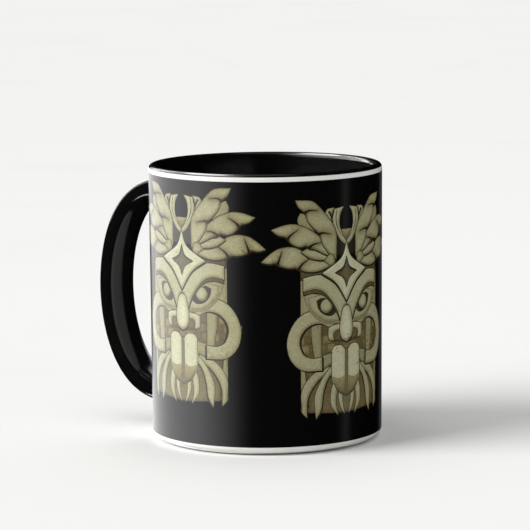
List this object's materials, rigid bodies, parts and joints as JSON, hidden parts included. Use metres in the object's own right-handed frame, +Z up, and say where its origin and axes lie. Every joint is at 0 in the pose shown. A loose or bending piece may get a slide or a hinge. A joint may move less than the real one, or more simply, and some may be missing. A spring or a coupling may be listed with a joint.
{
  "type": "mug",
  "caption": "Straight-walled ceramic mug with a black inside, lip and loop handle, a white rounded foot, and a black wrap printed with carved tiki posts.",
  "frame": {"origin": "on the cup's axis, in the plane that the foot ring stands on", "axes": "+Z up along the cup's axis, -X towards the handle, +X towards the middle of the print"},
  "size_m": [0.1148, 0.0822, 0.097],
  "materials": {
    "bare_clay": "unglazed, dry matt",
    "slip": "unglazed, dry matt",
    "white_glaze": "gloss",
    "black_glaze": "gloss",
    "print": "gloss, black ground with carved posts in grey-green and buff"
  },
  "bodies": {
    "root": {"stoneware_cup": "bare_clay", "handle_core": "bare_clay", "upper_slip_joint": "slip", "lower_slip_joint": "slip", "outer_white_glaze": "white_glaze", "underside_white_glaze": "white_glaze", "inner_black_glaze": "black_glaze", "handle_black_glaze": "black_glaze", "printed_wrap": "print"}
  },
  "joints": []
}
